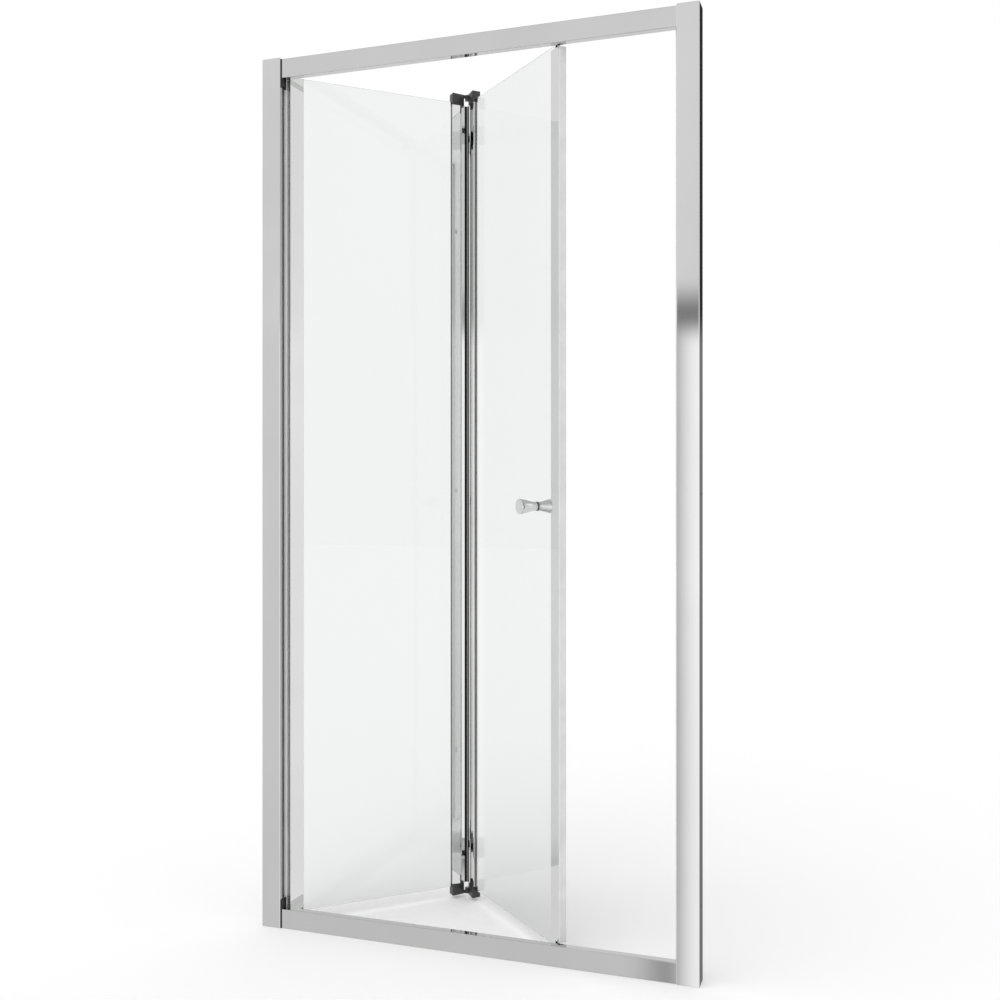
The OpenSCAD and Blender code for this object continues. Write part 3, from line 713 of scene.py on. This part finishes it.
class DoorGaskets(bpy.types.Operator):
    """Makes the glazing gaskets with rounded lips"""

    bl_idname = "door.gaskets"
    bl_label = "Glazing gaskets"

    def execute(self, context):
        inner = (sizes().inner_lip, "pivot_stile", "inner_hinge_stile")
        outer = (sizes().outer_lip, "outer_hinge_stile", "leading_stile")
        for leaf, (proud, near, far) in (("inner", inner), ("outer", outer)):
            node, body, glass = leaf + "_gaskets", leaf + "_leaf", leaf + "_glass"
            low, high = leaf_box(node, body)
            glass_low, glass_high = leaf_box(glass, body)
            near_low, near_high = leaf_box(near, body)
            far_low, far_high = leaf_box(far, body)
            middle = (glass_low.y + glass_high.y) / 2
            half = (high.y - low.y) / 2
            thin = (glass_high.y - glass_low.y) / 2
            bm = gasket(low.x, near_high.x, 1, half, thin, near_low.z, near_high.z, proud)
            mate = gasket(far_low.x, high.x, -1, half, thin, far_low.z, far_high.z, proud)
            add_bmesh(bm, mate)
            shift = LEAF[body] @ Matrix.Translation((0, middle, 0))
            piece_from(bm, node + "_lipped", body, [node], shift)
        return {"FINISHED"}


# ---------- knobs ----------

RIM_STEPS = 8


def knob_profile(foot, reach, end_r):
    """Half section of a knob as (radius, height): bore, foot, waist, swell, rim and face."""
    size = sizes()
    rim = size.knob_rim
    rings = size.knob_rings
    waist_r = size.knob_waist
    bore_r = size.knob_bore
    bore_end = foot + size.knob_bore_depth
    edge = size.knob_foot
    profile = [(0, bore_end), (bore_r, bore_end), (bore_r, foot), (waist_r - edge, foot)]
    for angle in (math.radians(30), math.radians(60), math.radians(90)):
        out, up = edge * math.sin(angle), edge * math.cos(angle)
        profile.append((waist_r - edge + out, foot + edge - up))
    neck = reach - rim - foot
    for i in range(1, rings + 1):
        share = i / rings
        swell = (1 - math.cos(math.pi * share)) / 2
        profile.append((waist_r + (end_r - waist_r) * swell, foot + edge + (neck - edge) * share))
    for i in range(1, RIM_STEPS + 1):
        angle = math.pi / 2 * i / RIM_STEPS
        out, up = rim * math.cos(angle), rim * math.sin(angle)
        profile.append((end_r - rim + out, reach - rim + up))
    return profile + [(0, reach)]


class DoorKnobs(bpy.types.Operator):
    """Makes the two turned knobs"""

    bl_idname = "door.knobs"
    bl_label = "Knobs"

    def execute(self, context):
        x, middle, z = knob_place()
        for node, way in (("knob_outer", -1), ("knob_inner", 1)):
            low, high = leaf_box(node, "outer_leaf")
            foot, reach = sorted(abs(t - middle) for t in (low.y, high.y))
            profile = knob_profile(foot, reach, (high.z - low.z) / 2)
            turn = Matrix.Translation((x, middle, z)) @ Matrix.Rotation(-way * math.pi / 2, 4, "X")
            bm = spun(profile, sizes().knob_sides, turn)
            piece_from(bm, node + "_turned", "outer_leaf", [node], LEAF["outer_leaf"], smooth=35)
        return {"FINISHED"}


# ---------- moulded pieces ----------


class DoorMouldings(bpy.types.Operator):
    """Rounds the edges of the moulded caps, blocks and shoes"""

    bl_idname = "door.mouldings"
    bl_label = "Moulded pieces"

    def execute(self, context):
        for body, nodes in (
            ("inner_leaf", ("inner_hinge_cap_bottom", "inner_hinge_cap_top")),
            ("outer_leaf", ("outer_hinge_cap_bottom", "outer_hinge_cap_top")),
            ("frame", ("end_block_bottom", "end_block_top")),
            ("bottom_guide", ("bottom_guide_shoe",)),
            ("top_guide", ("top_guide_shoe",)),
        ):
            for node in nodes:
                rounded_copy(node, body, sizes().cap_edge)
        return {"FINISHED"}


# ---------- seals ----------

# Along the leaf, the tips of a seal's lips are no further than this from the hinge pin's axis
LIP_ZONE = 0.5 * MM


class DoorSeals(bpy.types.Operator):
    """Makes the hinge seals, whose soft lips nearly meet at the hinge pin"""

    bl_idname = "door.seals"
    bl_label = "Hinge seals"

    def execute(self, context):
        pivot, hinge = (Vector(JOINTS[name]["pos_m"]) for name in ("leaf_pivot", "leaf_fold"))
        pin = (hinge - pivot).xy.length
        tip = sizes().lip_tip
        for node, body, pin_x, way in (
            ("inner_hinge_seal", "inner_leaf", pin, -1),
            ("outer_hinge_seal", "outer_leaf", 0, 1),
        ):
            bm = merged_copy(node)
            bm.transform(LEAF[body].inverted())
            for v in bm.verts:
                if abs(v.co.x - pin_x) < LIP_ZONE:
                    v.co.x = pin_x + way * tip
            piece_from(bm, node + "_soft", body, [node], LEAF[body], smooth=30)
        return {"FINISHED"}


# ---------- screws ----------

SCREW_SIDES = 32
HEAD_EDGE = 0.35 * MM
THREAD_ROOT = 0.84  # radius between the turns, as a share of the shank's
POINT = 0.8  # radius where the point begins, as a share of the shank's
SOCKET_DEPTH = 0.75  # as a share of the head's height
FLUSH = 0.001 * MM


def screw_mesh(head_r, shank_len):
    """Flat-headed screw with a hexagon socket; its head is at z = 0 and its shank points up."""
    size = sizes()
    head_h, shank_r, pitch = size.screw_head, size.screw_shank, size.screw_pitch
    profile = [(head_r - HEAD_EDGE, 0), (head_r, HEAD_EDGE), (head_r, head_h - HEAD_EDGE)]
    profile += [(head_r - HEAD_EDGE, head_h), (shank_r, head_h)]
    for i in range(int((shank_len - head_h) / pitch) - 1):
        base = head_h + pitch * (i + 0.5)
        profile += [(shank_r, base), (shank_r * THREAD_ROOT, base + pitch / 2)]
    profile += [(shank_r * POINT, shank_len - pitch), (0, shank_len)]
    bm = spun(profile, SCREW_SIDES)
    ring = [v for v in bm.verts if abs(v.co.z) < FLUSH]
    edges = [e for e in bm.edges if e.verts[0] in ring and e.verts[1] in ring]
    hexagon = bmesh.ops.create_circle(bm, segments=6, radius=size.socket / math.sqrt(3))
    hex_edges = edges_round(hexagon["verts"])
    bmesh.ops.triangle_fill(bm, edges=edges + hex_edges, use_beauty=True)
    walls = bmesh.ops.extrude_edge_only(bm, edges=hex_edges)["geom"]
    deep = [v for v in walls if isinstance(v, bmesh.types.BMVert)]
    bmesh.ops.translate(bm, verts=deep, vec=(0, 0, head_h * SOCKET_DEPTH))
    bottom = [e for e in walls if isinstance(e, bmesh.types.BMEdge)]
    bmesh.ops.holes_fill(bm, edges=bottom, sides=6)
    return bm


class DoorScrews(bpy.types.Operator):
    """Makes the screws that hold the pivot brackets in the rails"""

    bl_idname = "door.screws"
    bl_label = "Bracket screws"

    def execute(self, context):
        node = "bracket_screws"
        low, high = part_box(node)
        centre = ((low.x + high.x) / 2, (low.y + high.y) / 2)
        head_r = (high.x - low.x) / 2
        middle = (low.z + high.z) / 2
        lower = [v.co.z for v in NODES[node].data.vertices if v.co.z < middle]
        shank_len = max(lower) - min(lower)
        upside_down = Matrix.Rotation(math.pi, 4, "X")
        bm = bmesh.new()
        for z, turn in ((low.z, Matrix.Identity(4)), (high.z, upside_down)):
            one = screw_mesh(head_r, shank_len)
            one.transform(Matrix.Translation((*centre, z)) @ turn)
            add_bmesh(bm, one)
        piece_from(bm, "bracket_screws_headed", "frame", [node], smooth=30)
        return {"FINISHED"}


# ---------- finishes on the fixed pieces ----------


class DoorFinish(bpy.types.Operator):
    """Makes the finishes and puts them on every fixed piece"""

    bl_idname = "door.finish"
    bl_label = "Finishes"

    def execute(self, context):
        make_finishes()
        for node, obj in NODES.items():
            obj.data.materials.clear()
            obj.data.materials.append(finish_of(node))
        return {"FINISHED"}


# ---------- stage ----------

FLOOR_SIZE = 14
FLOOR_DROP = 0.5 * MM
KEY_SPREAD = math.radians(60)
KEY_TURN = (math.radians(28), math.radians(-18), 0)
SENSOR = 36
DEGREES = 180 / math.pi
WHITE = (1, 1, 1, 1)
UNLIT = (0, 0, 0, 1)


def make_floor():
    """White floor just under the door's foot, which metal doesn't show."""
    bm = bmesh.new()
    bmesh.ops.create_grid(bm, x_segments=8, y_segments=8, size=FLOOR_SIZE)
    bmesh.ops.translate(bm, verts=bm.verts, vec=(0, 0, -FLOOR_DROP))
    mesh = bpy.data.meshes.new("floor")
    bm.to_mesh(mesh)
    bm.free()
    floor = bpy.data.objects.new("floor", mesh)
    bpy.context.scene.collection.objects.link(floor)
    material, tree = new_material("floor_white")
    seen = put(tree, "ShaderNodeLightPath", {}, {}, out="Is Camera Ray")
    through = put(tree, "ShaderNodeLightPath", {}, {}, out="Is Transmission Ray")
    close_material(
        tree,
        {
            "Base Color": rgba(studio().floor),
            "Roughness": 0.9,
            "Specular IOR Level": 0.0,
            "Emission Color": blend(tree, seen + through, UNLIT, WHITE),
            "Emission Strength": studio().lift,
        },
    )
    mesh.materials.append(material)
    floor.visible_glossy = False


def make_world():
    """White seen directly; polished metal sees a soft studio with a bright and a dark side."""
    world = bpy.data.worlds.new("studio")
    bpy.context.scene.world = world
    world.use_nodes = True
    tree = world.node_tree
    tree.nodes.clear()
    direct, through, mirrors = (
        put(tree, "ShaderNodeLightPath", {}, {}, out=name)
        for name in ("Is Camera Ray", "Is Transmission Ray", "Glossy Depth")
    )
    ray = put(tree, "ShaderNodeTexCoord", {}, {}, out="Generated")
    x, y, z = (put(tree, "ShaderNodeSeparateXYZ", {}, {0: ray}, out=axis) for axis in "XYZ")
    # in degrees: 0 towards the camera's side of the door, positive to the right
    azimuth = x.maths("ARCTAN2", x, 0 - y) * DEGREES
    rise = z.maths("ARCSINE", z) * DEGREES
    level = studio_levels(tree, azimuth, rise)
    straight = mirrors.maths("LESS_THAN", mirrors, 0.5)
    seen = direct.maths("MAXIMUM", direct, through * straight)
    room = straight * studio().ambient + (1 - straight) * level
    strength = seen + (1 - seen) * room
    light = put(tree, "ShaderNodeBackground", {}, {"Color": WHITE, "Strength": strength})
    put(tree, "ShaderNodeOutputWorld", {}, {"Surface": light})


# Brightness of the studio round the door, below and above the top of its bright panels:
# degrees to the right from the camera's side, and level
LOW_TURN = (
    (-180, 0.86), (-150, 0.86), (-125, 1.0), (-112, 0.9), (-103, 0.88), (-85, 0.85),
    (-75, 1.05), (-55, 1.05), (-40, 0.8), (-30, 0.79), (-13, 0.79), (-8, 1.3), (-5, 1.12),
    (4, 1.12), (14, 1.45), (28, 1.4), (40, 1.1), (56, 1.0), (67, 0.98), (80, 0.93),
    (100, 0.85), (108, 1.0), (122, 1.05), (135, 0.85), (143, 0.5), (150, 0.37), (171, 0.2),
    (173, 0.2), (177, 0.86),
)
HIGH_TURN = (
    (-180, 0.78), (-150, 0.78), (-125, 1.0), (-103, 0.875), (-85, 0.9), (-75, 1.25),
    (-55, 1.25), (-40, 0.85), (-30, 0.835), (-10, 0.87), (-7, 0.86), (-5, 0.74), (30, 0.76),
    (56, 0.9), (60, 0.96), (64, 1.0), (70, 1.0), (77, 0.92), (100, 0.82), (108, 1.2),
    (122, 1.3), (135, 0.75), (143, 0.3), (148, 0.03), (173, 0.03), (177, 0.78),
)
TURN_SCALE = 2.0

# Soft steps in the studio, each between two angles in degrees. Left edge of the bright panel
# beside the camera, which is too fine for the table:
EDGE_BEGINS, EDGE_ENDS = (-13, -12.2), (-8.4, -7.4)
EDGE_DARKENS, EDGE_BRIGHTENS = (-12.2, -10.2), (-10.1, -8.1)
EDGE_LEVEL, EDGE_DIP, EDGE_LIFT = 0.79, 0.42, 0.93
# Slightly darker below eye height, a plain ceiling, and the step from the low to the high table:
LOW_RISE, LOW_DIM = (-24, -3), 0.06
CEILING_RISE, CEILING_LEVEL = (24, 40), 0.6
HIGH_RISE = (6.6, 8.6)
# Dark line along the panel's top, weaker past its left edge:
TOP_BEGINS, TOP_WEAKENS, TOP_ENDS = (-13.5, -11.5), (-9.0, -7.5), (12, 20)
TOP_RISE, TOP_FALL = (6.9, 8.3), (8.4, 10.2)
TOP_DARK, TOP_LOSS = 0.72, 0.45
# Dark foot of the panel, darker near its upper border:
FOOT_BEGINS, FOOT_ENDS = (-7, -5.5), (2, 6)
FOOT_RISE, BORDER_RISE = (-18.0, -17.2), (-19.2, -18.2)
FOOT_DARK, BORDER_DARK = 0.32, 0.43
# The ground, darker straight below:
GROUND_RISE, GROUND_LEVEL = (-60, -24), 0.72


def turn_levels(tree, azimuth, turns):
    """Brightness by azimuth, from one of the tables."""
    stops = [((a + 180) / 360, level / TURN_SCALE) for a, level in turns]
    share = (azimuth + 180) / 360
    return put(tree, "ShaderNodeValToRGB", {"stops": stops}, {0: share}) * TURN_SCALE


def studio_levels(tree, azimuth, rise):
    """Brightness of the studio by direction, as polished metal sees it."""
    low = turn_levels(tree, azimuth, LOW_TURN)
    fade = 1 - azimuth.ramp(*EDGE_BRIGHTENS)
    edge = EDGE_LEVEL - EDGE_DIP * azimuth.smooth(*EDGE_DARKENS)
    edge = edge + EDGE_LIFT * (1 - fade * fade * fade)
    low = low + (edge - low) * azimuth.smooth(*EDGE_BEGINS) * (1 - azimuth.smooth(*EDGE_ENDS))
    low = low * (1 - LOW_DIM + LOW_DIM * rise.smooth(*LOW_RISE))
    high = turn_levels(tree, azimuth, HIGH_TURN)
    high = high + (CEILING_LEVEL - high) * rise.smooth(*CEILING_RISE)
    level = low + (high - low) * rise.smooth(*HIGH_RISE)
    near = azimuth.smooth(*TOP_BEGINS) * (1 - azimuth.smooth(*TOP_WEAKENS) * TOP_LOSS)
    near = near * (1 - azimuth.smooth(*TOP_ENDS))
    top = rise.smooth(*TOP_RISE) * (1 - rise.smooth(*TOP_FALL))
    front = azimuth.smooth(*FOOT_BEGINS) * (1 - azimuth.smooth(*FOOT_ENDS))
    foot = (1 - rise.smooth(*FOOT_RISE)) * (FOOT_DARK + BORDER_DARK * rise.smooth(*BORDER_RISE))
    ground = GROUND_LEVEL + (1 - GROUND_LEVEL) * rise.smooth(*GROUND_RISE)
    return level * (1 - TOP_DARK * top * near) * (1 - foot * front) * ground


def make_key(level):
    """Soft even light from the upper left, which metal doesn't show."""
    data = bpy.data.lights.new("key_light", "SUN")
    data.energy = level
    data.angle = KEY_SPREAD
    key = bpy.data.objects.new("key_light", data)
    bpy.context.scene.collection.objects.link(key)
    key.rotation_euler = KEY_TURN
    key.visible_glossy = False
    key.visible_transmission = False


def make_camera(scene):
    """Level camera, turned to the left."""
    data = bpy.data.cameras.new("camera")
    data.sensor_width = SENSOR
    data.lens = studio().lens
    data.shift_y = studio().rise
    camera = bpy.data.objects.new("camera", data)
    scene.collection.objects.link(camera)
    camera.location = studio().eye
    camera.rotation_euler = (math.pi / 2, 0, studio().turn)
    scene.camera = camera


class DoorStage(bpy.types.Operator):
    """Makes the floor, the light and the camera"""

    bl_idname = "door.stage"
    bl_label = "Floor, light and camera"

    def execute(self, context):
        make_floor()
        make_world()
        make_key(studio().key)
        make_camera(context.scene)
        context.scene.view_settings.view_transform = "Standard"
        return {"FINISHED"}


# ---------- panel and running ----------

STEPS = (
    DoorFinish,
    DoorGlass,
    DoorGaskets,
    DoorKnobs,
    DoorMouldings,
    DoorSeals,
    DoorScrews,
    DoorStage,
)


class DoorPanel(bpy.types.Panel):
    """Lists the door's steps, sizes and colours"""

    bl_idname = "VIEW3D_PT_door"
    bl_label = "Bifold Door"
    bl_space_type = "VIEW_3D"
    bl_region_type = "UI"
    bl_category = "Door"

    def draw(self, context):
        scene = context.scene
        for step in STEPS:
            self.layout.operator(step.bl_idname)
        for group in (scene.door_sizes, scene.door_finishes, scene.door_studio):
            box = self.layout.box()
            for name in group.bl_rna.properties.keys():
                if name not in ("rna_type", "name"):
                    box.prop(group, name)


GROUPS = {"door_sizes": DoorSizes, "door_finishes": DoorFinishes, "door_studio": DoorStudio}


def register():
    """Registers the classes and puts their settings on the scene."""
    for cls in (*GROUPS.values(), *STEPS, DoorPanel):
        bpy.utils.register_class(cls)
    for name, cls in GROUPS.items():
        setattr(bpy.types.Scene, name, PointerProperty(type=cls))


def unregister():
    """Takes the settings and the classes away again."""
    for name in GROUPS:
        delattr(bpy.types.Scene, name)
    for cls in (DoorPanel, *reversed(STEPS), *reversed(tuple(GROUPS.values()))):
        bpy.utils.unregister_class(cls)


def main():
    """Makes the door's looks."""
    register()
    bpy.ops.door.finish()
    bpy.ops.door.glass()
    bpy.ops.door.gaskets()
    bpy.ops.door.knobs()
    bpy.ops.door.mouldings()
    bpy.ops.door.seals()
    bpy.ops.door.screws()
    bpy.ops.door.stage()
    bpy.context.view_layer.update()


if __name__ == "__main__":
    main()
